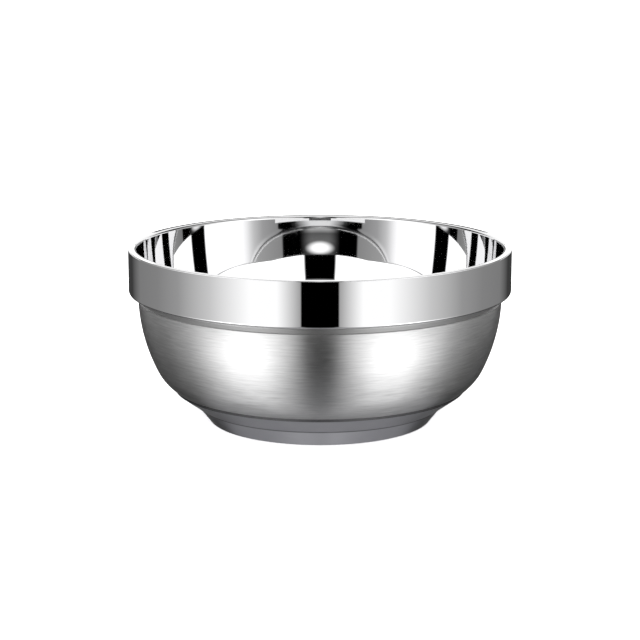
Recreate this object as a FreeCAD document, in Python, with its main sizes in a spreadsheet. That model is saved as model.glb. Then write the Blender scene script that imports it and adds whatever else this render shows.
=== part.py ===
"""Double-wall stainless steel shaving bowl.

The bowl is pressed from thin sheet and joined permanently.  A mirror-polished inner bowl hangs by
its turned-out rim inside a brushed outer shell, with air between the two walls.  A polished band
joins them at the top, and a pressed ring under the shell is the foot.  Every piece is a body of
revolution about Z.  The origin is the centre of the circle that the foot stands on.
"""
import FreeCAD, Part
import math
import os

import Sketcher

# Driving dimensions, in millimetres and degrees.  A lean is an angle away from the vertical.
DIMENSIONS = (
    ("TotalHeight", 60.0),        # table to rim
    ("BandRadius", 65.0),         # outside of the band: the bowl is 130 across
    ("BandHeight", 15.2),         # rim to the band's underside
    ("BandBend", 0.8),            # bend at the band's lower corner
    ("NeckBend", 1.2),            # bend where the band turns down into the neck
    ("NeckDepth", 6.2),           # how far the neck reaches below the band's underside
    ("SheetGauge", 0.5),          # thickness of every sheet
    ("MouthRadius", 62.1),        # inner bowl just under the rim
    ("RimCorner", 1.0),           # rounding of the rim's inner corner
    ("SeamCorner", 0.3),          # corner ground off the rim seam
    ("MouthLean", 4.5),           # inner bowl's wall just under the rim
    ("InnerWallArc", 163.0),      # inner bowl's slowly curving upper wall
    ("WallFoot", 44.0),           # height where it starts to curve in faster
    ("InnerSideArc", 58.0),       # inner bowl's side
    ("InnerHeelArc", 30.0),       # inner bowl's curve into its floor
    ("InnerFloor", 8.6),          # height of the inner bowl's floor
    ("ShellRadius", 61.9),        # outer shell at its widest
    ("WidestHeight", 44.1),       # height where the shell's side would be vertical
    ("ShellTop", 42.3),           # height of the shell's top edge
    ("SideArc", 58.0),            # shell's side
    ("SideLean", 26.0),           # lean where the side arc meets the heel arc
    ("HeelArc", 17.6),            # shell's curve into its cone
    ("ConeLean", 54.4),           # lean of the cone under the shell
    ("FloorBend", 10.0),          # shell's curve into its floor
    ("ShellFloor", 3.7),          # height of the shell's underside
    ("FootSeam", 1.1),            # width of the seam above the foot
    ("FlangeLength", 9.4),        # foot's flange, along the cone
    ("FlangeBend", 0.5),          # crease between flange and leg
    ("LegLean", 38.0),            # lean of the foot's leg
    ("StandBend", 1.0),           # foot's lower corner
    ("StandInner", 33.5),         # inside of the ring that the foot stands on
    ("PlugShank", 2.0),           # radius of the vent plug's shank
    ("PlugHead", 3.5),            # radius of its head
    ("PlugHeadHeight", 0.8),
)
UP = 90.0
DOWN = -90.0
INWARD = 180.0
ORIGIN = (-1, 1)                  # the sketch's own origin, as a constraint names it
HORIZONTAL_AXIS = -1
VERTICAL_AXIS = -2


def make_sheet(doc):
    sheet = doc.addObject("Spreadsheet::Sheet", "Sizes")
    for row, (name, value) in enumerate(DIMENSIONS, start=1):
        sheet.set(f"A{row}", name)
        sheet.set(f"B{row}", str(value))
        sheet.setAlias(f"B{row}", name)
    doc.recompute()
    return sheet


def sine(lean):
    return math.sin(math.radians(lean))


def cosine(lean):
    return math.cos(math.radians(lean))


def down_at(lean):
    """Heading of a wall that runs down and in towards the axis at this lean."""
    return DOWN - lean


class Run:
    """A line of straight stretches and arcs, each tangent to the one before it."""

    def __init__(self, start, heading):
        self.points = [FreeCAD.Vector(start[0], start[1], 0)]
        self.headings = [heading]
        self.centres = []

    def line(self, length):
        heading = self.headings[-1]
        step = FreeCAD.Vector(cosine(heading), sine(heading), 0) * length
        self.points.append(self.points[-1] + step)
        self.headings.append(heading)
        self.centres.append(None)

    def arc(self, radius, new_heading):
        """Turn to new_heading; a larger heading is a turn to the left."""
        old = self.headings[-1]
        side = 1 if new_heading > old else -1
        centre = self.points[-1] + left_of(old) * (side * radius)
        self.points.append(centre - left_of(new_heading) * (side * radius))
        self.headings.append(new_heading)
        self.centres.append(centre)

    def beside(self, distance):
        """The same run, shifted to the left by distance, with its arcs about the same centres."""
        twin = Run(self.points[0], self.headings[0])
        twin.points = [p + left_of(a) * distance for p, a in zip(self.points, self.headings)]
        twin.headings = list(self.headings)
        twin.centres = list(self.centres)
        return twin


def left_of(heading):
    return FreeCAD.Vector(-sine(heading), cosine(heading), 0)


class Section:
    """A half section in the XZ plane of its own body, whose dimensions follow the sheet."""

    def __init__(self, doc, name):
        self.body = doc.addObject("PartDesign::Body", name)
        self.body.Label = name
        self.body.Placement = FreeCAD.Placement()
        self.sketch = self.body.newObject("Sketcher::SketchObject", name + "_section")
        plane = [f for f in self.body.Origin.OriginFeatures if f.Role == "XZ_Plane"][0]
        self.sketch.AttachmentSupport = (plane, [""])
        self.sketch.MapMode = "FlatFace"

    def rule(self, *terms):
        return self.sketch.addConstraint(Sketcher.Constraint(*terms))

    def dimension(self, expression, kind, *terms):
        """A constraint whose value is an expression in the sheet's names."""
        index = self.rule(kind, *terms, self.sketch.evalExpression(expression))
        self.sketch.setExpression(f"Constraints[{index}]", expression)

    def across(self, end, expression):
        self.dimension(expression, "DistanceX", *ORIGIN, *end)

    def up(self, end, expression):
        self.dimension(expression, "DistanceY", *ORIGIN, *end)

    def lean(self, edge, expression):
        """Lean of a straight edge that runs down and in."""
        self.dimension(f"(-90 - ({expression})) * 1 deg", "Angle", edge)

    def draw(self, run):
        """Draw a run and return its edges, with the two ends of each in the run's order."""
        edges = []
        for i, centre in enumerate(run.centres):
            first, last = run.points[i], run.points[i + 1]
            if centre is None:
                index = self.sketch.addGeometry(Part.LineSegment(first, last))
                ends = (1, 2)
            else:
                left_turn = run.headings[i + 1] > run.headings[i]
                begin, finish = (first, last) if left_turn else (last, first)
                circle = Part.Circle(centre, FreeCAD.Vector(0, 0, 1), (first - centre).Length)
                arc = Part.ArcOfCircle(circle, circle.parameter(begin), circle.parameter(finish))
                index = self.sketch.addGeometry(arc)
                ends = (1, 2) if left_turn else (2, 1)
            edges.append((index, *ends))
            if i > 0:
                before = edges[-2]
                self.rule("Tangent", before[0], before[2], index, ends[0])
        return edges

    def close(self, first, last):
        """A straight edge between two ends."""
        points = [self.sketch.getPoint(*end) for end in (first, last)]
        index = self.sketch.addGeometry(Part.LineSegment(*points))
        self.rule("Coincident", index, 1, *first)
        self.rule("Coincident", index, 2, *last)
        return index

    def draw_sheet_metal(self, run, gauge):
        """Draw a run and its twin at the sheet's thickness, joined at both ends."""
        near = self.draw(run)
        far = self.draw(run.beside(gauge))
        for (edge, *_), (twin, *_), centre in zip(near, far, run.centres):
            if centre is None:
                self.rule("Parallel", edge, twin)
            else:
                self.rule("Coincident", edge, 3, twin, 3)
        start_cap = self.close(near[0][:2], far[0][:2])
        end_cap = self.close((near[-1][0], near[-1][2]), (far[-1][0], far[-1][2]))
        return near, far, start_cap, end_cap

    def draw_outline(self, corners):
        """Straight sides through corners whose two coordinates are expressions."""
        points = []
        for across, up in corners:
            x, y = (self.sketch.evalExpression(text) for text in (across, up))
            points.append(FreeCAD.Vector(float(x), float(y), 0))
        sides = [self.sketch.addGeometry(Part.LineSegment(points[i], points[(i + 1) % len(points)]))
                 for i in range(len(points))]
        for i, side in enumerate(sides):
            self.rule("Coincident", side, 2, sides[(i + 1) % len(sides)], 1)
            self.across((side, 1), corners[i][0])
            self.up((side, 1), corners[i][1])
        return sides

    def turn(self):
        """Revolve the section about the bowl's axis."""
        doc = self.body.Document
        doc.recompute()
        turned = self.body.newObject("PartDesign::Revolution", self.body.Name + "_turned")
        turned.Profile = self.sketch
        turned.ReferenceAxis = (self.sketch, ["V_Axis"])
        turned.Angle = 360
        self.sketch.Visibility = False
        doc.recompute()
        return self.body


def make_inner_bowl(doc, size):
    """Rim flange, wall of three arcs and a flat floor; the near side is the mirror side."""
    section = Section(doc, "inner_bowl")
    flange_end = size.MouthRadius + size.RimCorner * cosine(size.MouthLean)
    corner_end = size.TotalHeight - size.RimCorner * (1 - sine(size.MouthLean))
    foot_sine = sine(size.MouthLean) + (corner_end - size.WallFoot) / size.InnerWallArc
    drop = (size.WallFoot - size.InnerFloor - size.InnerHeelArc + size.InnerSideArc * foot_sine)
    heel_lean = math.degrees(math.asin(drop / (size.InnerSideArc - size.InnerHeelArc)))

    run = Run((size.BandRadius - size.SheetGauge, size.TotalHeight), INWARD)
    run.line(size.BandRadius - size.SheetGauge - flange_end)
    run.arc(size.RimCorner, 360 + down_at(size.MouthLean))
    run.arc(size.InnerWallArc, 360 + down_at(math.degrees(math.asin(foot_sine))))
    run.arc(size.InnerSideArc, 360 + down_at(heel_lean))
    run.arc(size.InnerHeelArc, INWARD)
    run.line(run.points[-1].x)
    near, far, edge_cap, axis_cap = section.draw_sheet_metal(run, size.SheetGauge)
    flange, corner, wall, side, heel, floor = near

    section.rule("Horizontal", flange[0])
    section.across(flange[:2], "Sizes.BandRadius - Sizes.SheetGauge")
    section.up(flange[:2], "Sizes.TotalHeight")
    section.rule("Vertical", edge_cap)
    section.dimension("Sizes.SheetGauge", "DistanceY", edge_cap, 2, edge_cap, 1)
    section.dimension("Sizes.RimCorner", "Radius", corner[0])
    section.across((corner[0], corner[2]), "Sizes.MouthRadius")
    section.up((corner[0], corner[2]),
               "Sizes.TotalHeight - Sizes.RimCorner * (1 - sin(Sizes.MouthLean * 1 deg))")
    section.dimension("Sizes.InnerWallArc", "Radius", wall[0])
    section.up((wall[0], wall[2]), "Sizes.WallFoot")
    section.dimension("Sizes.InnerSideArc", "Radius", side[0])
    section.dimension("Sizes.InnerHeelArc", "Radius", heel[0])
    section.rule("Horizontal", floor[0])
    section.up((floor[0], floor[2]), "Sizes.InnerFloor")
    section.rule("PointOnObject", floor[0], floor[2], VERTICAL_AXIS)
    section.rule("PointOnObject", far[-1][0], far[-1][2], VERTICAL_AXIS)
    return section.turn()


def make_rim_seam(doc):
    """Corner weld between the inner bowl's rim and the band, ground flush with its corner off."""
    section = Section(doc, "rim_seam")
    inner = "Sizes.BandRadius - Sizes.SheetGauge"
    under = "Sizes.TotalHeight - Sizes.SheetGauge"
    section.draw_outline((
        ("Sizes.BandRadius", under),
        ("Sizes.BandRadius", "Sizes.TotalHeight - Sizes.SeamCorner"),
        ("Sizes.BandRadius - Sizes.SeamCorner", "Sizes.TotalHeight"),
        (inner, "Sizes.TotalHeight"),
        (inner, under),
    ))
    return section.turn()


def make_rim_band(doc, size):
    """Cylindrical band, step under it, and a neck that slides down inside the outer shell."""
    section = Section(doc, "rim_band")
    underside = size.TotalHeight - size.BandHeight
    neck_arc = size.SideArc - size.SheetGauge
    side_centre = size.ShellRadius - size.SideArc
    above_bend = size.WidestHeight - (underside - size.NeckBend)
    bend_lean = math.degrees(math.asin(above_bend / (neck_arc + size.NeckBend)))
    bend_centre = side_centre + (neck_arc + size.NeckBend) * cosine(bend_lean)
    above_end = size.WidestHeight - (underside - size.NeckDepth)
    end_lean = math.degrees(math.asin(above_end / neck_arc))

    run = Run((size.BandRadius, size.TotalHeight - size.SheetGauge), DOWN)
    run.line(size.BandHeight - size.SheetGauge - size.BandBend)
    run.arc(size.BandBend, -INWARD)
    run.line(size.BandRadius - size.BandBend - bend_centre)
    run.arc(size.NeckBend, down_at(bend_lean))
    run.arc(neck_arc, down_at(end_lean))
    near, far, top_cap, low_cap = section.draw_sheet_metal(run, -size.SheetGauge)
    wall, corner, step, bend, neck = near

    section.rule("Vertical", wall[0])
    section.across(wall[:2], "Sizes.BandRadius")
    section.up(wall[:2], "Sizes.TotalHeight - Sizes.SheetGauge")
    section.rule("Horizontal", top_cap)
    section.dimension("Sizes.SheetGauge", "DistanceX", top_cap, 2, top_cap, 1)
    section.dimension("Sizes.BandBend", "Radius", corner[0])
    section.rule("Horizontal", step[0])
    section.up(step[:2], "Sizes.TotalHeight - Sizes.BandHeight")
    section.dimension("Sizes.NeckBend", "Radius", bend[0])
    section.dimension("Sizes.SideArc - Sizes.SheetGauge", "Radius", neck[0])
    section.across((neck[0], 3), "Sizes.ShellRadius - Sizes.SideArc")
    section.up((neck[0], 3), "Sizes.WidestHeight")
    section.up((neck[0], neck[2]), "Sizes.TotalHeight - Sizes.BandHeight - Sizes.NeckDepth")
    section.rule("Horizontal", low_cap)
    return section.turn()


def make_outer_shell(doc, size):
    """Side, heel, cone and flat bottom, with the vent hole through its middle."""
    section = Section(doc, "outer_shell")
    side_centre = size.ShellRadius - size.SideArc
    top_lean = math.degrees(math.asin((size.WidestHeight - size.ShellTop) / size.SideArc))
    heel_height = (size.WidestHeight - (size.SideArc - size.HeelArc) * sine(size.SideLean)
                   - size.HeelArc * sine(size.ConeLean))
    cone_drop = heel_height - size.ShellFloor - size.FloorBend * (1 - sine(size.ConeLean))

    run = Run((side_centre + size.SideArc * cosine(top_lean), size.ShellTop), down_at(top_lean))
    run.arc(size.SideArc, down_at(size.SideLean))
    run.arc(size.HeelArc, down_at(size.ConeLean))
    run.line(cone_drop / cosine(size.ConeLean))
    run.arc(size.FloorBend, -INWARD)
    run.line(run.points[-1].x)
    near, far, top_cap, axis_cap = section.draw_sheet_metal(run, -size.SheetGauge)
    side, heel, cone, floor_bend, floor = near

    section.across((side[0], 3), "Sizes.ShellRadius - Sizes.SideArc")
    section.up((side[0], 3), "Sizes.WidestHeight")
    section.dimension("Sizes.SideArc", "Radius", side[0])
    section.up(side[:2], "Sizes.ShellTop")
    section.up((side[0], side[2]), "Sizes.WidestHeight - Sizes.SideArc * sin(Sizes.SideLean * 1 deg)")
    section.rule("Horizontal", top_cap)
    section.dimension("Sizes.SideArc - Sizes.SheetGauge", "Radius", far[0][0])
    section.dimension("Sizes.HeelArc", "Radius", heel[0])
    section.lean(cone[0], "Sizes.ConeLean")
    section.dimension("Sizes.FloorBend", "Radius", floor_bend[0])
    section.rule("Horizontal", floor[0])
    section.up((floor[0], floor[2]), "Sizes.ShellFloor")
    section.rule("PointOnObject", floor[0], floor[2], VERTICAL_AXIS)
    section.rule("PointOnObject", far[-1][0], far[-1][2], VERTICAL_AXIS)
    body = section.turn()
    cut_vent(doc, body)
    return body


def cut_vent(doc, body):
    """Hole through the middle of the shell's floor, for the vent plug."""
    volume = body.Shape.Volume
    circle = body.newObject("Sketcher::SketchObject", "vent_circle")
    plane = [f for f in body.Origin.OriginFeatures if f.Role == "XY_Plane"][0]
    circle.AttachmentSupport = (plane, [""])
    circle.MapMode = "FlatFace"
    edge = circle.addGeometry(Part.Circle(FreeCAD.Vector(), FreeCAD.Vector(0, 0, 1),
                                          doc.Sizes.PlugShank))
    circle.addConstraint(Sketcher.Constraint("Coincident", edge, 3, *ORIGIN))
    radius = circle.addConstraint(Sketcher.Constraint("Radius", edge, doc.Sizes.PlugShank))
    circle.setExpression(f"Constraints[{radius}]", "Sizes.PlugShank")
    doc.recompute()
    vent = body.newObject("PartDesign::Pocket", "vent")
    vent.Profile = circle
    vent.Type = "ThroughAll"
    vent.Reversed = True
    circle.Visibility = False
    doc.recompute()
    removed = volume - body.Shape.Volume
    expected = math.pi * doc.Sizes.PlugShank ** 2 * doc.Sizes.SheetGauge
    if abs(removed - expected) > 0.01 * expected:
        raise RuntimeError(f"vent removes {removed:.2f} mm3, not {expected:.2f}")


# Where the shell's heel arc runs out into its cone, as expressions in the sheet's names.
CONE_START_ACROSS = ("(Sizes.ShellRadius - Sizes.SideArc"
                     " + (Sizes.SideArc - Sizes.HeelArc) * cos(Sizes.SideLean * 1 deg)"
                     " + Sizes.HeelArc * cos(Sizes.ConeLean * 1 deg))")
CONE_START_UP = ("(Sizes.WidestHeight"
                 " - (Sizes.SideArc - Sizes.HeelArc) * sin(Sizes.SideLean * 1 deg)"
                 " - Sizes.HeelArc * sin(Sizes.ConeLean * 1 deg))")
FLANGE_TOP_ACROSS = f"({CONE_START_ACROSS} - Sizes.FootSeam * sin(Sizes.ConeLean * 1 deg))"
FLANGE_TOP_UP = f"({CONE_START_UP} - Sizes.FootSeam * cos(Sizes.ConeLean * 1 deg))"
FLANGE_EDGE_ACROSS = f"({FLANGE_TOP_ACROSS} + Sizes.SheetGauge * cos(Sizes.ConeLean * 1 deg))"
FLANGE_EDGE_UP = f"({FLANGE_TOP_UP} - Sizes.SheetGauge * sin(Sizes.ConeLean * 1 deg))"


def make_foot_seam(doc):
    """Fillet of weld between the shell and the top edge of the foot's flange."""
    section = Section(doc, "foot_seam")
    section.draw_outline((
        (CONE_START_ACROSS, CONE_START_UP),
        (FLANGE_TOP_ACROSS, FLANGE_TOP_UP),
        (FLANGE_EDGE_ACROSS, FLANGE_EDGE_UP),
    ))
    return section.turn()


def make_foot_ring(doc, size):
    """Flange that lies against the shell's cone, leg below it, and a lip that stands flat."""
    section = Section(doc, "foot_ring")
    start = [float(section.sketch.evalExpression(text)) for text in (FLANGE_EDGE_ACROSS, FLANGE_EDGE_UP)]
    bend_drop = size.FlangeBend * (sine(size.ConeLean) - sine(size.LegLean))
    leg_top = start[1] - size.FlangeLength * cosine(size.ConeLean) - bend_drop
    leg_drop = leg_top - size.StandBend * (1 - sine(size.LegLean))

    run = Run(start, down_at(size.ConeLean))
    run.line(size.FlangeLength)
    run.arc(size.FlangeBend, down_at(size.LegLean))
    run.line(leg_drop / cosine(size.LegLean))
    run.arc(size.StandBend, -INWARD)
    run.line(run.points[-1].x - size.StandInner)
    near, far, top_cap, lip_cap = section.draw_sheet_metal(run, -size.SheetGauge)
    flange, crease, leg, corner, lip = near

    section.across(flange[:2], FLANGE_EDGE_ACROSS)
    section.up(flange[:2], FLANGE_EDGE_UP)
    section.lean(flange[0], "Sizes.ConeLean")
    section.dimension("Sizes.FlangeLength", "Distance", flange[0])
    section.rule("Perpendicular", top_cap, flange[0])
    section.dimension("Sizes.SheetGauge", "Distance", top_cap)
    section.dimension("Sizes.FlangeBend", "Radius", crease[0])
    section.lean(leg[0], "Sizes.LegLean")
    section.dimension("Sizes.StandBend", "Radius", corner[0])
    section.rule("Horizontal", lip[0])
    section.rule("PointOnObject", lip[0], lip[2], HORIZONTAL_AXIS)
    section.across((lip[0], lip[2]), "Sizes.StandInner")
    section.rule("Vertical", lip_cap)
    return section.turn()


def make_vent_plug(doc):
    """Headed plug that closes the vent from below."""
    section = Section(doc, "vent_plug")
    section.draw_outline((
        ("0", "Sizes.ShellFloor - Sizes.PlugHeadHeight"),
        ("Sizes.PlugHead", "Sizes.ShellFloor - Sizes.PlugHeadHeight"),
        ("Sizes.PlugHead", "Sizes.ShellFloor"),
        ("Sizes.PlugShank", "Sizes.ShellFloor"),
        ("Sizes.PlugShank", "Sizes.ShellFloor + Sizes.SheetGauge"),
        ("0", "Sizes.ShellFloor + Sizes.SheetGauge"),
    ))
    return section.turn()


def check(doc, bodies):
    """Stop if any object failed to compute, or any piece is not one valid solid."""
    for thing in doc.Objects:
        if "Invalid" in thing.State or "Error" in thing.State:
            raise RuntimeError(f"{thing.Name} failed: {thing.State}")
        if thing.isDerivedFrom("Sketcher::SketchObject") and not thing.FullyConstrained:
            raise RuntimeError(f"{thing.Name} is not fully constrained")
    for body in bodies:
        shape = body.Shape
        if shape.isNull() or not shape.isValid() or len(shape.Solids) != 1:
            raise RuntimeError(f"{body.Label} is not one valid solid")


def main():
    doc = FreeCAD.newDocument("shaving_bowl")
    size = make_sheet(doc)
    bodies = [
        make_inner_bowl(doc, size),
        make_rim_seam(doc),
        make_rim_band(doc, size),
        make_outer_shell(doc, size),
        make_foot_seam(doc),
        make_foot_ring(doc, size),
        make_vent_plug(doc),
    ]
    doc.recompute()
    check(doc, bodies)
    os.makedirs("parts", exist_ok=True)
    for body in bodies:
        body.Shape.exportStep(f"parts/{body.Label}.step")
        box = body.Shape.BoundBox
        print(f"{body.Label}: {body.Shape.Volume:.1f} mm3, height {box.ZMin:.2f} to {box.ZMax:.2f}")


main()
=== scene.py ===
"""Looks of the double-wall shaving bowl.

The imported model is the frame.  Its pieces are bodies of revolution with mirror and brushed
finishes, so each shown piece is turned again here, finely and with exact normals, from the same
half section as its CAD node.  A lit drum stands round the bowl, and only reflections see it.
"""

import math
from collections import namedtuple

import bpy
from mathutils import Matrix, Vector


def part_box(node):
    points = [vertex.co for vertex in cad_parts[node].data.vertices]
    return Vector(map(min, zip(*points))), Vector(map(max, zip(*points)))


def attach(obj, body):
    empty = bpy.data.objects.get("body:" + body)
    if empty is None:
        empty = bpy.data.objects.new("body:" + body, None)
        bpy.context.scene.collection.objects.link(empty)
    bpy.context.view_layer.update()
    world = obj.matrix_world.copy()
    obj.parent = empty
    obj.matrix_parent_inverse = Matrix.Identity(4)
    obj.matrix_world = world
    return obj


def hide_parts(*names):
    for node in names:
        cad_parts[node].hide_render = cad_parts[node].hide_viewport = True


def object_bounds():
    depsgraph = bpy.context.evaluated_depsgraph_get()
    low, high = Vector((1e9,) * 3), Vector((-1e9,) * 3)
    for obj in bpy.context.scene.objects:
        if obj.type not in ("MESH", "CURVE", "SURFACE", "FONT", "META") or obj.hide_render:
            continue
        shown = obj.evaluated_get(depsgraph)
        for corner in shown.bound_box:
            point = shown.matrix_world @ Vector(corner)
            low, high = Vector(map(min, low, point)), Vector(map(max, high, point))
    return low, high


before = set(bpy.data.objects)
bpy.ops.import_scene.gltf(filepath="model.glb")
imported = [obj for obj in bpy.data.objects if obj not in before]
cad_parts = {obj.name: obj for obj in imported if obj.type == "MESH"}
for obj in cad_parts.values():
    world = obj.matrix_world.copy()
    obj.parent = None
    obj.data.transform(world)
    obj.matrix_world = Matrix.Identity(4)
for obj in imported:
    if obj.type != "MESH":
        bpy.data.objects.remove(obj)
cad_low, cad_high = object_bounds()

MM = 0.001
SEGMENTS = 256
ARC_STEP = 3.0        # degrees of an arc between two rows of points
FEWEST_ARC_STEPS = 3
OUTWARD = 0.0
UPWARD = 90.0
INWARD = 180.0
DOWN = 270.0

# Half sections, in millimetres and degrees.  A lean is an angle away from the vertical.
BAND_RADIUS = cad_high.x / MM
RIM_HEIGHT = cad_high.z / MM
GAUGE = RIM_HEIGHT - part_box("rim_band")[1].z / MM
BAND_HEIGHT = 15.2
BAND_BEND = 0.8
NECK_BEND = 1.2
NECK_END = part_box("rim_band")[0].z / MM
MOUTH_RADIUS = 62.1
RIM_CORNER = 1.0
SEAM_CORNER = 0.3
MOUTH_LEAN = 4.5
INNER_WALL_ARC = 163.0
WALL_FOOT = 44.0
INNER_SIDE_ARC = 58.0
INNER_HEEL_ARC = 30.0
INNER_FLOOR = 8.6
SHELL_RADIUS = 61.9
WIDEST_HEIGHT = 44.1
SHELL_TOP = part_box("outer_shell")[1].z / MM
SHELL_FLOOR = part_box("outer_shell")[0].z / MM
SIDE_ARC = 58.0
SIDE_LEAN = 26.0
HEEL_ARC = 17.6
CONE_LEAN = 54.4
FLOOR_BEND = 10.0
FOOT_SEAM = 1.1
FLANGE_LENGTH = 9.4
FLANGE_BEND = 0.5
LEG_LEAN = 38.0
STAND_BEND = 1.0
STAND_INNER = 33.5
PLUG_SHANK = 2.0
PLUG_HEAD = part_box("vent_plug")[1].x / MM
PLUG_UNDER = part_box("vent_plug")[0].z / MM
PLUG_EDGE = 0.25
SIDE_CENTRE = SHELL_RADIUS - SIDE_ARC


def sine(degrees):
    return math.sin(math.radians(degrees))


def cosine(degrees):
    return math.cos(math.radians(degrees))


def lean_of(share):
    return math.degrees(math.asin(share))


def left_of(heading):
    return Vector((-sine(heading), cosine(heading)))


class Run:
    """Straight stretches and arcs in a row, each stretch a list of (point, heading)."""

    def __init__(self, start, heading):
        self.at = Vector(start)
        self.heading = heading
        self.stretches = []

    def line(self, length):
        start = self.at.copy()
        self.at = start + Vector((cosine(self.heading), sine(self.heading))) * length
        self.stretches.append([(start, self.heading), (self.at.copy(), self.heading)])

    def line_to(self, across, up):
        """A straight stretch to a point, with a sharp corner before it."""
        step = Vector((across, up)) - self.at
        self.heading = math.degrees(math.atan2(step.y, step.x))
        self.line(step.length)

    def arc(self, radius, new_heading):
        """Turn to new_heading; a larger heading is a turn to the left."""
        angle = new_heading - self.heading
        side = math.copysign(radius, angle)
        centre = self.at + left_of(self.heading) * side
        steps = max(FEWEST_ARC_STEPS, math.ceil(abs(angle) / ARC_STEP))
        headings = [self.heading + angle * step / steps for step in range(steps + 1)]
        self.stretches.append([(centre - left_of(heading) * side, heading) for heading in headings])
        self.at = self.stretches[-1][-1][0].copy()
        self.heading = new_heading

    def thicken(self, gauge):
        """Close the run into a sheet whose other face lies gauge to the left of it."""
        near = list(self.stretches)
        far = [[(point + left_of(heading) * gauge, heading + 180) for point, heading in reversed(stretch)]
               for stretch in reversed(near)]
        self.line_to(*far[0][0][0])
        self.stretches += far
        self.at = far[-1][-1][0].copy()
        self.line_to(*near[0][0][0])


def inner_bowl_run():
    flange_end = MOUTH_RADIUS + RIM_CORNER * cosine(MOUTH_LEAN)
    corner_end = RIM_HEIGHT - RIM_CORNER * (1 - sine(MOUTH_LEAN))
    foot_sine = sine(MOUTH_LEAN) + (corner_end - WALL_FOOT) / INNER_WALL_ARC
    drop = WALL_FOOT - INNER_FLOOR - INNER_HEEL_ARC + INNER_SIDE_ARC * foot_sine
    run = Run((BAND_RADIUS - GAUGE, RIM_HEIGHT), INWARD)
    run.line(BAND_RADIUS - GAUGE - flange_end)
    run.arc(RIM_CORNER, DOWN - MOUTH_LEAN)
    run.arc(INNER_WALL_ARC, DOWN - lean_of(foot_sine))
    run.arc(INNER_SIDE_ARC, DOWN - lean_of(drop / (INNER_SIDE_ARC - INNER_HEEL_ARC)))
    run.arc(INNER_HEEL_ARC, INWARD)
    run.line(run.at.x)
    run.thicken(GAUGE)
    return run


def rim_seam_run():
    run = Run((BAND_RADIUS, RIM_HEIGHT - GAUGE), UPWARD)
    run.line(GAUGE - SEAM_CORNER)
    run.arc(SEAM_CORNER, INWARD)
    run.line(GAUGE - SEAM_CORNER)
    run.line_to(BAND_RADIUS - GAUGE, RIM_HEIGHT - GAUGE)
    run.line_to(BAND_RADIUS, RIM_HEIGHT - GAUGE)
    return run


def rim_band_run():
    underside = RIM_HEIGHT - BAND_HEIGHT
    neck_arc = SIDE_ARC - GAUGE
    bend_lean = lean_of((WIDEST_HEIGHT - underside + NECK_BEND) / (neck_arc + NECK_BEND))
    bend_centre = SIDE_CENTRE + (neck_arc + NECK_BEND) * cosine(bend_lean)
    run = Run((BAND_RADIUS, RIM_HEIGHT - GAUGE), DOWN)
    run.line(BAND_HEIGHT - GAUGE - BAND_BEND)
    run.arc(BAND_BEND, INWARD)
    run.line(BAND_RADIUS - BAND_BEND - bend_centre)
    run.arc(NECK_BEND, DOWN - bend_lean)
    run.arc(neck_arc, DOWN - lean_of((WIDEST_HEIGHT - NECK_END) / neck_arc))
    run.thicken(-GAUGE)
    return run


def cone_top():
    """Where the shell's heel ends and its cone begins."""
    across = SIDE_CENTRE + (SIDE_ARC - HEEL_ARC) * cosine(SIDE_LEAN) + HEEL_ARC * cosine(CONE_LEAN)
    up = WIDEST_HEIGHT - (SIDE_ARC - HEEL_ARC) * sine(SIDE_LEAN) - HEEL_ARC * sine(CONE_LEAN)
    return across, up


def outer_shell_run():
    top_lean = lean_of((WIDEST_HEIGHT - SHELL_TOP) / SIDE_ARC)
    cone_drop = cone_top()[1] - SHELL_FLOOR - FLOOR_BEND * (1 - sine(CONE_LEAN))
    run = Run((SIDE_CENTRE + SIDE_ARC * cosine(top_lean), SHELL_TOP), DOWN - top_lean)
    run.arc(SIDE_ARC, DOWN - SIDE_LEAN)
    run.arc(HEEL_ARC, DOWN - CONE_LEAN)
    run.line(cone_drop / cosine(CONE_LEAN))
    run.arc(FLOOR_BEND, INWARD)
    run.line(run.at.x - PLUG_SHANK)
    run.thicken(-GAUGE)
    return run


def foot_points():
    """Top of the weld on the shell, foot of the weld on the shell, and the flange's outer edge."""
    start = Vector(cone_top())
    flange_top = start - FOOT_SEAM * Vector((sine(CONE_LEAN), cosine(CONE_LEAN)))
    flange_edge = flange_top + GAUGE * Vector((cosine(CONE_LEAN), -sine(CONE_LEAN)))
    return start, flange_top, flange_edge


def foot_seam_run():
    start, flange_top, flange_edge = foot_points()
    run = Run(flange_top, OUTWARD)
    run.line_to(*flange_edge)
    run.line_to(*start)
    run.line_to(*flange_top)
    return run


def foot_ring_run():
    start = foot_points()[2]
    bend_drop = FLANGE_BEND * (sine(CONE_LEAN) - sine(LEG_LEAN))
    leg_drop = start.y - FLANGE_LENGTH * cosine(CONE_LEAN) - bend_drop - STAND_BEND * (1 - sine(LEG_LEAN))
    run = Run(start, DOWN - CONE_LEAN)
    run.line(FLANGE_LENGTH)
    run.arc(FLANGE_BEND, DOWN - LEG_LEAN)
    run.line(leg_drop / cosine(LEG_LEAN))
    run.arc(STAND_BEND, INWARD)
    run.line(run.at.x - STAND_INNER)
    run.thicken(-GAUGE)
    return run


def vent_plug_run():
    run = Run((0, PLUG_UNDER), OUTWARD)
    run.line(PLUG_HEAD - PLUG_EDGE)
    run.arc(PLUG_EDGE, UPWARD)
    run.line(SHELL_FLOOR - PLUG_UNDER - PLUG_EDGE)
    run.line_to(PLUG_SHANK, SHELL_FLOOR)
    run.line_to(PLUG_SHANK, SHELL_FLOOR + GAUGE)
    run.line_to(0, SHELL_FLOOR + GAUGE)
    return run


# Tolerances in millimetres: a step too short to keep, an end that meets its start, and a point
# on the axis.
SHORTEST_STEP = 1e-7
CLOSED = 1e-6
ON_AXIS = 1e-6


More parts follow.
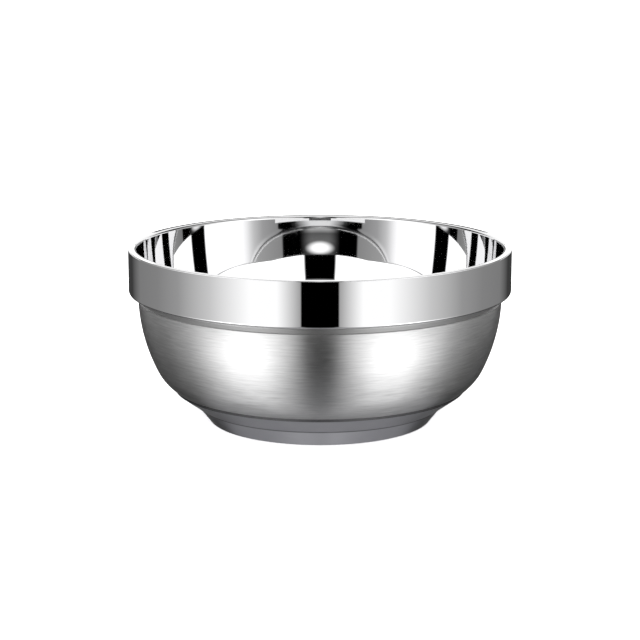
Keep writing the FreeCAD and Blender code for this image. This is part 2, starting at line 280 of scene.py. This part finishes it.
def section_rows(run):
    """The points of a closed section, and the headings at both ends of each step between them."""
    rows = []
    steps = []
    for stretch in run.stretches:
        for (start, start_heading), (end, end_heading) in zip(stretch, stretch[1:]):
            if (end - start).length > SHORTEST_STEP:
                rows.append(start)
                steps.append((start_heading, end_heading))
    if (end - rows[0]).length > CLOSED:
        rows.append(end)
    return rows, steps


def outside_of(rows):
    """1 if a section's outside lies to the left of its headings, -1 if it lies to the right."""
    area = sum(here.x * after.y - after.x * here.y for here, after in zip(rows, rows[1:] + rows[:1]))
    return -1 if area > 0 else 1


def ring_points(rows, spokes):
    """The turned points, and for each row its first point and whether it is a point on the axis."""
    points = []
    rings = []
    for row in rows:
        on_axis = row.x < ON_AXIS
        rings.append((len(points), on_axis))
        if on_axis:
            points.append((0, 0, row.y * MM))
        else:
            points += [(row.x * across * MM, row.x * along * MM, row.y * MM) for across, along in spokes]
    return points, rings


def turned_faces(rings, steps, outside, spokes):
    """The faces between the rings, and the exact normal at each of their corners."""
    faces = []
    normals = []
    for index, headings in enumerate(steps):
        start, start_on_axis = rings[index]
        end, end_on_axis = rings[(index + 1) % len(rings)]
        if start_on_axis and end_on_axis:
            continue
        first, last = (left_of(heading) * outside for heading in headings)
        for near in range(SEGMENTS):
            far = (near + 1) % SEGMENTS
            corners = [(start if start_on_axis else start + near, first, near),
                       (end if end_on_axis else end + near, last, near),
                       (end if end_on_axis else end + far, last, far),
                       (start if start_on_axis else start + far, first, far)]
            if start_on_axis:
                corners.pop()
            if end_on_axis:
                corners.pop(2)
            if outside < 0:
                corners.reverse()
            faces.append([corner[0] for corner in corners])
            normals += [(normal.x * spokes[spoke][0], normal.x * spokes[spoke][1], normal.y)
                        for point, normal, spoke in corners]
    return faces, normals


def turn(node, run):
    """Revolve a closed section about Z into a piece that stands for a CAD node."""
    rows, steps = section_rows(run)
    outside = outside_of(rows)
    spokes = [(math.cos(2 * math.pi * spoke / SEGMENTS), math.sin(2 * math.pi * spoke / SEGMENTS))
              for spoke in range(SEGMENTS)]
    points, rings = ring_points(rows, spokes)
    faces, normals = turned_faces(rings, steps, outside, spokes)
    mesh = bpy.data.meshes.new(node + "_turned")
    mesh.from_pydata(points, [], faces)
    mesh.polygons.foreach_set("use_smooth", [True] * len(faces))
    mesh.normals_split_custom_set(normals)
    mesh.validate()
    piece = bpy.data.objects.new(node + "_turned", mesh)
    bpy.context.scene.collection.objects.link(piece)
    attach(piece, "root")
    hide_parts(node)
    return piece


# Sockets of the colour Mix node, whose names repeat.
MIX_FACTOR = 0
MIX_FIRST = 6
MIX_SECOND = 7
MIX_RESULT = 2


def grey(level):
    return level, level, level


class Tree:
    """A node tree with short ways to add and join nodes."""

    def __init__(self, tree):
        self.tree = tree
        tree.nodes.clear()

    def node(self, kind, inputs=None, **settings):
        made = self.tree.nodes.new(kind)
        for name, value in settings.items():
            setattr(made, name, value)
        for name, value in (inputs or {}).items():
            self.feed(made.inputs[name], value)
        return made

    def feed(self, socket, value):
        if isinstance(value, bpy.types.NodeSocket):
            self.tree.links.new(value, socket)
        else:
            socket.default_value = value

    def math(self, operation, *values):
        made = self.node("ShaderNodeMath", operation=operation)
        for socket, value in zip(made.inputs, values):
            self.feed(socket, value)
        return made.outputs[0]

    def times(self, first, second):
        return self.math("MULTIPLY", first, second)

    def plus(self, first, second):
        return self.math("ADD", first, second)

    def above(self, value, limit):
        return self.math("GREATER_THAN", value, limit)

    def below(self, value, limit):
        return self.math("LESS_THAN", value, limit)

    def length(self, across, up):
        return self.math("SQRT", self.plus(self.times(across, across), self.times(up, up)))

    def vector(self, x, y, z):
        return self.node("ShaderNodeCombineXYZ", {"X": x, "Y": y, "Z": z}).outputs[0]

    def split(self, vector):
        return self.node("ShaderNodeSeparateXYZ", {"Vector": vector}).outputs

    def noise(self, vector, scale, detail):
        made = self.node("ShaderNodeTexNoise", {"Vector": vector, "Scale": scale, "Detail": detail})
        return made.outputs["Fac"]

    def bump(self, height, strength, distance):
        made = self.node("ShaderNodeBump", {"Height": height, "Strength": strength, "Distance": distance})
        return made.outputs[0]

    def ramp(self, value, stops):
        """stops is a list of (position, grey level)."""
        made = self.node("ShaderNodeValToRGB", {"Fac": value})
        elements = made.color_ramp.elements
        elements[0].position = stops[0][0]
        elements[1].position = stops[-1][0]
        for position, level in stops[1:-1]:
            elements.new(position)
        for element, (position, level) in zip(elements, stops):
            element.color = (*grey(level), 1)
        return made.outputs["Color"]

    def between(self, value, low, high, new_low=0.0, new_high=1.0):
        """Carry low..high over to new_low..new_high, and keep what is outside at the nearer end."""
        made = self.node("ShaderNodeMapRange", {"Value": value, "From Min": low, "From Max": high,
                                                "To Min": new_low, "To Max": new_high})
        return made.outputs["Result"]

    def soft(self, value, low, high, new_low=0.0, new_high=1.0):
        """As between, but eased at both ends."""
        made = self.between(value, low, high, new_low, new_high)
        made.node.interpolation_type = "SMOOTHSTEP"
        return made

    def mix(self, factor, first, second):
        made = self.node("ShaderNodeMix", data_type="RGBA")
        for index, value in ((MIX_FACTOR, factor), (MIX_FIRST, first), (MIX_SECOND, second)):
            if isinstance(value, tuple):
                value = (*value, 1)
            self.feed(made.inputs[index], value)
        return made.outputs[MIX_RESULT]


def material(name):
    made = bpy.data.materials.new(name)
    made.use_nodes = True
    return made, Tree(made.node_tree)


def finish_surface(tree, shader):
    tree.node("ShaderNodeOutputMaterial", {"Surface": shader.outputs[0]})


# Where the shaded point is, in metres: the point itself, its radius and height, and the two parts
# of its direction from the axis.
Place = namedtuple("Place", "where radius height across along")
SMALLEST_RADIUS = 0.0001


def place(tree):
    """The Place of the point being shaded."""
    where = tree.node("ShaderNodeTexCoord").outputs["Object"]
    x, y, height = tree.split(where)
    radius = tree.length(x, y)
    safe = tree.math("MAXIMUM", radius, SMALLEST_RADIUS)
    return Place(where, radius, height, tree.math("DIVIDE", x, safe), tree.math("DIVIDE", y, safe))


# Looks of the steel.  Scales and lines are per metre, and edges are in metres.  A pair after a
# noise's range goes from its low end to its high end.
NOISE_RANGE = (0.3, 0.7)
POLISHED_COLOUR = (0.77, 0.77, 0.775)
MIRROR_COLOUR = (0.77, 0.77, 0.775)
SHINY = (0.01, 0.03)
SHINY_SCALE = 60.0
SCRATCH_TURNS = 9.0
SCRATCH_LINES = 9000.0
SCRATCH_RANGE = (0.62, 0.8)
SCRATCH_DULLING = (0.0, 0.012)
# Painted shade: the darker colour given to the neck below the band.
NECK_SHADE_COLOUR = (0.34, 0.34, 0.34)
NECK_DULL = (0.30, 0.42)
NECK_TURNS = 7.0
NECK_LINES = 4000.0
NECK_START = 0.0001   # below the underside of the band
BRUSHED_LEVELS = [(0.0, 0.55), (1.0, 0.78)]
BRUSHED_DULL = (0.28, 0.38)
BRUSHED_STRETCH = 0.8
COARSE_TURNS = 6.0
COARSE_LINES = 1500.0
FINE_TURNS = 14.0
FINE_LINES = 5000.0
QUARTER_TURN = 0.25
SATIN_COLOURS = ((0.66, 0.66, 0.70), (0.76, 0.76, 0.785))
SATIN_DULL = (0.28, 0.38)
SATIN_SCALE = 3000.0
CLOUD_SCALE = 90.0
# Painted shade: the colour of the dark line in the foot's crease, where it fades, and how much of it is
# laid on.
CREASE_SHADE_COLOUR = (0.20, 0.20, 0.21)
CREASE_SHADE_EDGES = (0.0004, 0.0001)
CREASE_SHADE_SHARE = 0.8
# The weld's dark greys are partly its own tone and partly painted shade at the joint between shell and
# foot.
WELD_TONE_AND_SHADE = ((0.14, 0.14, 0.14), (0.24, 0.24, 0.25))
WELD_DULL = (0.3, 0.45)
WELD_SCALE = 2000.0


def steel(tree, colour, roughness, stretch=0.0, normal=None):
    """Steel whose highlights are drawn out across the brushing by stretch."""
    inputs = {"Base Color": colour, "Roughness": roughness, "Metallic": 1.0}
    if stretch:
        inputs["Anisotropic"] = stretch
        inputs["Anisotropic Rotation"] = QUARTER_TURN
        inputs["Tangent"] = tree.node("ShaderNodeTangent", direction_type="RADIAL", axis="Z").outputs[0]
    if normal is not None:
        inputs["Normal"] = normal
    return tree.node("ShaderNodeBsdfPrincipled", inputs)


def rings_noise(tree, here, turns, lines_per_metre, detail=3.0):
    """Noise drawn out round the axis: fine across the lines, slow along them."""
    line = tree.plus(here.height, here.radius)
    stretched = tree.vector(tree.times(here.across, turns), tree.times(here.along, turns),
                            tree.times(line, lines_per_metre))
    return tree.noise(stretched, 1.0, detail)


def shiny_roughness(tree, here):
    """Hardly any, with a slow faint haze."""
    haze = tree.noise(here.where, SHINY_SCALE, detail=3.0)
    return tree.between(haze, *NOISE_RANGE, *SHINY)


def make_mirror():
    made, tree = material("mirror_steel")
    here = place(tree)
    scratch = rings_noise(tree, here, SCRATCH_TURNS, SCRATCH_LINES, detail=2.0)
    fine = tree.between(scratch, *SCRATCH_RANGE, *SCRATCH_DULLING)
    roughness = tree.plus(shiny_roughness(tree, here), fine)
    finish_surface(tree, steel(tree, (*MIRROR_COLOUR, 1), roughness))
    return made


def make_polished():
    """Mirror finish, left dull on the neck below the band, where painted shade also darkens the colour.
    """
    made, tree = material("polished_steel")
    here = place(tree)
    neck = tree.below(here.height, (RIM_HEIGHT - BAND_HEIGHT) * MM - NECK_START)
    turned = rings_noise(tree, here, NECK_TURNS, NECK_LINES)
    dull = tree.between(turned, *NOISE_RANGE, *NECK_DULL)
    above_neck = tree.math("SUBTRACT", 1.0, neck)
    roughness = tree.plus(tree.times(neck, dull), tree.times(above_neck, shiny_roughness(tree, here)))
    # Painted shade: the neck's colour is darkened under the band.
    finish_surface(tree, steel(tree, tree.mix(neck, POLISHED_COLOUR, NECK_SHADE_COLOUR), roughness))
    return made


def make_brushed():
    made, tree = material("brushed_steel")
    here = place(tree)
    coarse = rings_noise(tree, here, COARSE_TURNS, COARSE_LINES)
    fine = rings_noise(tree, here, FINE_TURNS, FINE_LINES)
    both = tree.plus(tree.times(coarse, 0.5), tree.times(fine, 0.5))
    colour = tree.ramp(tree.between(both, *NOISE_RANGE), BRUSHED_LEVELS)
    roughness = tree.between(both, *NOISE_RANGE, *BRUSHED_DULL)
    normal = tree.bump(both, strength=0.15, distance=0.00005)
    finish_surface(tree, steel(tree, colour, roughness, BRUSHED_STRETCH, normal))
    return made


def make_satin():
    """Fine grain, with a painted shade line darkening the crease where the foot's flange bends into its
    leg.
    """
    made, tree = material("satin_steel")
    here = place(tree)
    grain = tree.noise(here.where, SATIN_SCALE, detail=3.0)
    cloud = tree.noise(here.where, CLOUD_SCALE, detail=2.0)
    crease_height = (foot_points()[2].y - FLANGE_LENGTH * cosine(CONE_LEAN)) * MM
    apart = tree.math("ABSOLUTE", tree.math("SUBTRACT", here.height, crease_height))
    # Painted shade: the colour is darkened along the crease between the foot's flange and its leg.
    painted_crease_shade = tree.soft(apart, *CREASE_SHADE_EDGES, 0.0, CREASE_SHADE_SHARE)
    colour = tree.mix(painted_crease_shade, tree.mix(cloud, *SATIN_COLOURS), CREASE_SHADE_COLOUR)
    roughness = tree.between(grain, *NOISE_RANGE, *SATIN_DULL)
    normal = tree.bump(grain, strength=0.1, distance=0.00003)
    finish_surface(tree, steel(tree, colour, roughness, normal=normal))
    return made


def make_weld():
    made, tree = material("weld_steel")
    grain = tree.noise(place(tree).where, WELD_SCALE, detail=3.0)
    roughness = tree.between(grain, *NOISE_RANGE, *WELD_DULL)
    # Painted shade: part of the weld's darkness stands for shade in the joint.
    finish_surface(tree, steel(tree, tree.mix(grain, *WELD_TONE_AND_SHADE), roughness))
    return made


# The drum of light, in metres.  An angle is in half turns away from the camera's side.  A pair of
# places is where a shape has faded out and where it is full.
DRUM_RADIUS = 0.25
DRUM_TOP = 0.40
DRUM_FOOT = -0.30
DRUM_SIDES = 192
TOP_MARGIN = 0.001
WHITE = grey(1.4)
BLACK = grey(0.0)
# Light by the angle: round the band, round the body below it, and at the front just above the rim.
BAND_LIGHT = [(0.0, 0.0), (0.0535, 0.0), (0.0542, 0.45), (0.12, 1.3), (0.20, 1.3), (0.33, 0.72),
              (0.45, 0.38), (0.55, 0.28), (0.67, 0.24), (0.76, 0.05), (0.88, 0.05), (1.0, 0.38)]
BODY_LIGHT = [(0.0, 0.0), (0.04, 0.02), (0.12, 1.4), (0.20, 3.0), (0.29, 3.0), (0.39, 1.4),
              (0.47, 0.5), (0.6, 0.16), (0.82, 0.02), (1.0, 0.42)]
FRONT_LIGHT = [(0.0, 0.0), (0.152, 0.0), (0.158, 0.30), (0.26, 0.42), (0.38, 1.2), (1.0, 1.3)]
# Light above the rim, by the angle round a point that lies FAN_CENTRE from the axis toward the
# camera, in half turns from straight back.
FAN_CENTRE = 0.130
UPPER_LIGHT = [(0.0, 1.2), (0.05, 1.15), (0.125, 0.05), (0.15, 0.0), (0.212, 0.0), (0.216, 0.38),
               (0.30, 0.55), (0.40, 1.15), (0.50, 1.6), (0.64, 0.8), (0.74, 0.42), (0.80, 0.04),
               (0.90, 0.03), (1.0, 0.85)]
# The wide light panel on the camera's side, with a black stripe in its middle.
PANEL_LIGHT = grey(1.9)
PANEL_SIDES = (0.50, 0.34)
PANEL_TOP = (0.190, 0.165)
STRIPE_EDGE = 0.0667
STRIPE_SOFTNESS = 0.006
# Overhead, toward the camera: a dark disc with a narrow bright strip across it.
DISC_GREY = grey(0.02)
DISC_HALF_WIDTH = 0.046
DISC_CENTRE = -0.080
DISC_HALF_LENGTH = 0.080
DISC_SOFTNESS = 0.25
STRIP_GREY = grey(0.85)
STRIP_SIDES = (0.014, 0.005)
STRIP_ENDS = (-0.10, -0.05)
# At the back: a white card up to a level edge, with a dark slot just below that edge in the middle
# and a grey sill under it.
CARD_START = 0.66
CARD_TOP = 0.1105
SLOT_GREY = grey(0.06)
SLOT_START = 0.918
SLOT_FOOT = 0.1065
SILL_GREY = grey(0.16)
SILL_START = 0.88
SILL_TOP = 0.096
# At the front, just above the rim: dark, with a soft grey haze and a white oval in the middle.
FRONT_END = 0.45
FRONT_TOP = 0.0905
HAZE_SIDES = (0.085, 0.03)
HAZE_HEIGHTS = (0.060, 0.090)
HAZE_LIGHT = [(0.0, 0.9), (0.24, 0.50), (0.38, 0.12), (0.6, 0.17), (1.0, 0.10)]
OVAL_HALF_WIDTH = 0.036
OVAL_CENTRE = 0.0845
OVAL_HALF_HEIGHT = 0.0050
OVAL_SOFTNESS = 0.45
# Beside and below the bowl, dimmer toward the ground.
DIMMED_HEIGHTS = (-0.06, -0.20)
DIMMED = 0.4
BAND_LIGHT_HEIGHTS = (-0.035, -0.025)
UPPER_LIGHT_HEIGHTS = (0.040, 0.055)
GROUND_HEIGHTS = (-0.18, -0.26)
GROUND_GREY = (0.28, 0.28, 0.29)
GROUND_SHARE = 0.12


def half_turns(tree, x, y):
    return tree.math("DIVIDE", tree.math("ARCTAN2", tree.math("ABSOLUTE", x), y), math.pi)


def oval(tree, across, up, half_width, centre, half_height, softness):
    """One inside an oval, nought outside it."""
    flat = tree.math("DIVIDE", across, half_width)
    tall = tree.math("DIVIDE", tree.math("SUBTRACT", up, centre), half_height)
    return tree.soft(tree.length(flat, tall), 1 + softness, 1 - softness)


def panel_light(tree, shade, z, turned):
    """The light panel on the camera's side and its black stripe, over shade."""
    facing = tree.times(tree.soft(turned, *PANEL_SIDES), tree.soft(z, *PANEL_TOP))
    middle = tree.soft(turned, STRIPE_EDGE + STRIPE_SOFTNESS, STRIPE_EDGE - STRIPE_SOFTNESS)
    shade = tree.mix(facing, shade, PANEL_LIGHT)
    return tree.mix(tree.times(facing, middle), shade, BLACK)


def overhead_light(tree, shade, x, y, z):
    """The dark disc on the drum's top and its bright strip, over shade."""
    round_part = oval(tree, x, y, DISC_HALF_WIDTH, DISC_CENTRE, DISC_HALF_LENGTH, DISC_SOFTNESS)
    disc = tree.times(tree.above(z, DRUM_TOP - TOP_MARGIN), round_part)
    strip = tree.times(tree.soft(tree.math("ABSOLUTE", x), *STRIP_SIDES), tree.soft(y, *STRIP_ENDS))
    shade = tree.mix(disc, shade, DISC_GREY)
    return tree.mix(tree.times(disc, strip), shade, STRIP_GREY)


def back_light(tree, shade, z, turned):
    """The white card at the back, its dark slot and its sill, over shade."""
    card = tree.times(tree.above(turned, CARD_START), tree.below(z, CARD_TOP))
    slot = tree.times(tree.above(z, SLOT_FOOT), tree.below(z, CARD_TOP))
    sill = tree.times(tree.above(turned, SILL_START), tree.below(z, SILL_TOP))
    shade = tree.mix(card, shade, WHITE)
    shade = tree.mix(tree.times(tree.above(turned, SLOT_START), slot), shade, SLOT_GREY)
    return tree.mix(sill, shade, SILL_GREY)


def front_light(tree, shade, x, z, turned):
    """The dark front with its haze and white oval, over shade."""
    haze = tree.ramp(tree.between(z, *HAZE_HEIGHTS), HAZE_LIGHT)
    front = tree.mix(tree.soft(turned, *HAZE_SIDES), tree.ramp(turned, FRONT_LIGHT), haze)
    white_part = oval(tree, x, z, OVAL_HALF_WIDTH, OVAL_CENTRE, OVAL_HALF_HEIGHT, OVAL_SOFTNESS)
    front = tree.mix(white_part, front, WHITE)
    near = tree.times(tree.below(turned, FRONT_END), tree.below(z, FRONT_TOP))
    return tree.mix(near, shade, front)


def drum_light(tree):
    """All of the drum's light, as a colour."""
    x, y, z = tree.split(tree.node("ShaderNodeNewGeometry").outputs["Position"])
    turned = half_turns(tree, x, tree.times(y, -1.0))
    upper = tree.ramp(half_turns(tree, x, tree.plus(y, FAN_CENTRE)), UPPER_LIGHT)
    upper = panel_light(tree, upper, z, turned)
    upper = overhead_light(tree, upper, x, y, z)
    upper = back_light(tree, upper, z, turned)
    upper = front_light(tree, upper, x, z, turned)
    body_light = tree.ramp(turned, BODY_LIGHT)
    body = tree.mix(tree.between(z, *DIMMED_HEIGHTS, 1.0, DIMMED), BLACK, body_light)
    beside = tree.mix(tree.between(z, *BAND_LIGHT_HEIGHTS), body, tree.ramp(turned, BAND_LIGHT))
    shade = tree.mix(tree.between(z, *UPPER_LIGHT_HEIGHTS), beside, upper)
    ground = tree.mix(GROUND_SHARE, GROUND_GREY, body_light)
    return tree.mix(tree.soft(z, *GROUND_HEIGHTS), shade, ground)


def make_drum():
    """A closed drum of light round the bowl that only reflections see."""
    bpy.ops.mesh.primitive_cylinder_add(vertices=DRUM_SIDES, radius=DRUM_RADIUS,
                                        depth=DRUM_TOP - DRUM_FOOT,
                                        location=(0, 0, (DRUM_TOP + DRUM_FOOT) / 2))
    drum = bpy.context.object
    drum.name = "light_tent"
    for ray in ("camera", "diffuse", "transmission", "volume_scatter", "shadow"):
        setattr(drum, f"visible_{ray}", False)
    made, tree = material("light_tent")
    glow = tree.node("ShaderNodeEmission", {"Color": drum_light(tree), "Strength": 1.0})
    finish_surface(tree, glow)
    drum.data.materials.append(made)


FLOOR_RADIUS = 6.0
FLOOR_SIDES = 128
FLOOR_GREY = grey(0.93)
FLOOR_ROUGHNESS = 0.8
FLOOR_GLOW = 0.4
SKY_LIGHT = 1.9


def make_floor():
    bpy.ops.mesh.primitive_circle_add(vertices=FLOOR_SIDES, radius=FLOOR_RADIUS, fill_type="NGON",
                                      location=(0, 0, 0))
    floor = bpy.context.object
    floor.name = "floor"
    floor.visible_glossy = False
    made, tree = material("floor")
    paint = tree.node("ShaderNodeBsdfPrincipled", {"Base Color": (*FLOOR_GREY, 1),
                                                   "Roughness": FLOOR_ROUGHNESS,
                                                   "Specular IOR Level": 0.0,
                                                   "Emission Color": (1, 1, 1, 1),
                                                   "Emission Strength": FLOOR_GLOW})
    finish_surface(tree, paint)
    floor.data.materials.append(made)


def make_world():
    world = bpy.data.worlds.new("studio")
    bpy.context.scene.world = world
    world.use_nodes = True
    tree = Tree(world.node_tree)
    sky = tree.node("ShaderNodeBackground", {"Color": (1, 1, 1, 1), "Strength": SKY_LIGHT})
    tree.node("ShaderNodeOutputWorld", {"Surface": sky.outputs[0]})
    world.cycles_visibility.glossy = False


CAMERA_DISTANCE = 10.5 * BAND_RADIUS * MM
CAMERA_ELEVATION = math.radians(9.95)
LOOK_HEIGHT = 0.0339
LENS = 112.93
SENSOR = 36.0


def make_camera():
    data = bpy.data.cameras.new("camera")
    data.lens = LENS
    data.sensor_width = SENSOR
    camera = bpy.data.objects.new("camera", data)
    bpy.context.scene.collection.objects.link(camera)
    camera.location = (0, -CAMERA_DISTANCE * math.cos(CAMERA_ELEVATION),
                       RIM_HEIGHT * MM + CAMERA_DISTANCE * math.sin(CAMERA_ELEVATION))
    aim = Vector((0, 0, LOOK_HEIGHT)) - camera.location
    camera.rotation_euler = aim.to_track_quat("-Z", "Y").to_euler()
    bpy.context.scene.camera = camera


mirror = make_mirror()
polished = make_polished()
brushed = make_brushed()
satin = make_satin()
weld = make_weld()
PIECES = [
    ("inner_bowl", inner_bowl_run, "mirror_steel", mirror),
    ("rim_seam", rim_seam_run, "polished_seam", polished),
    ("rim_band", rim_band_run, "polished_steel", polished),
    ("outer_shell", outer_shell_run, "brushed_steel", brushed),
    ("foot_seam", foot_seam_run, "weld_steel", weld),
    ("foot_ring", foot_ring_run, "satin_steel", satin),
    ("vent_plug", vent_plug_run, "plug_steel", satin),
]
for node, make_run, slot, finish in PIECES:
    turn(node, make_run()).data.materials.append(finish)
make_drum()
make_floor()
make_world()
make_camera()
bpy.context.scene.view_settings.view_transform = "Standard"
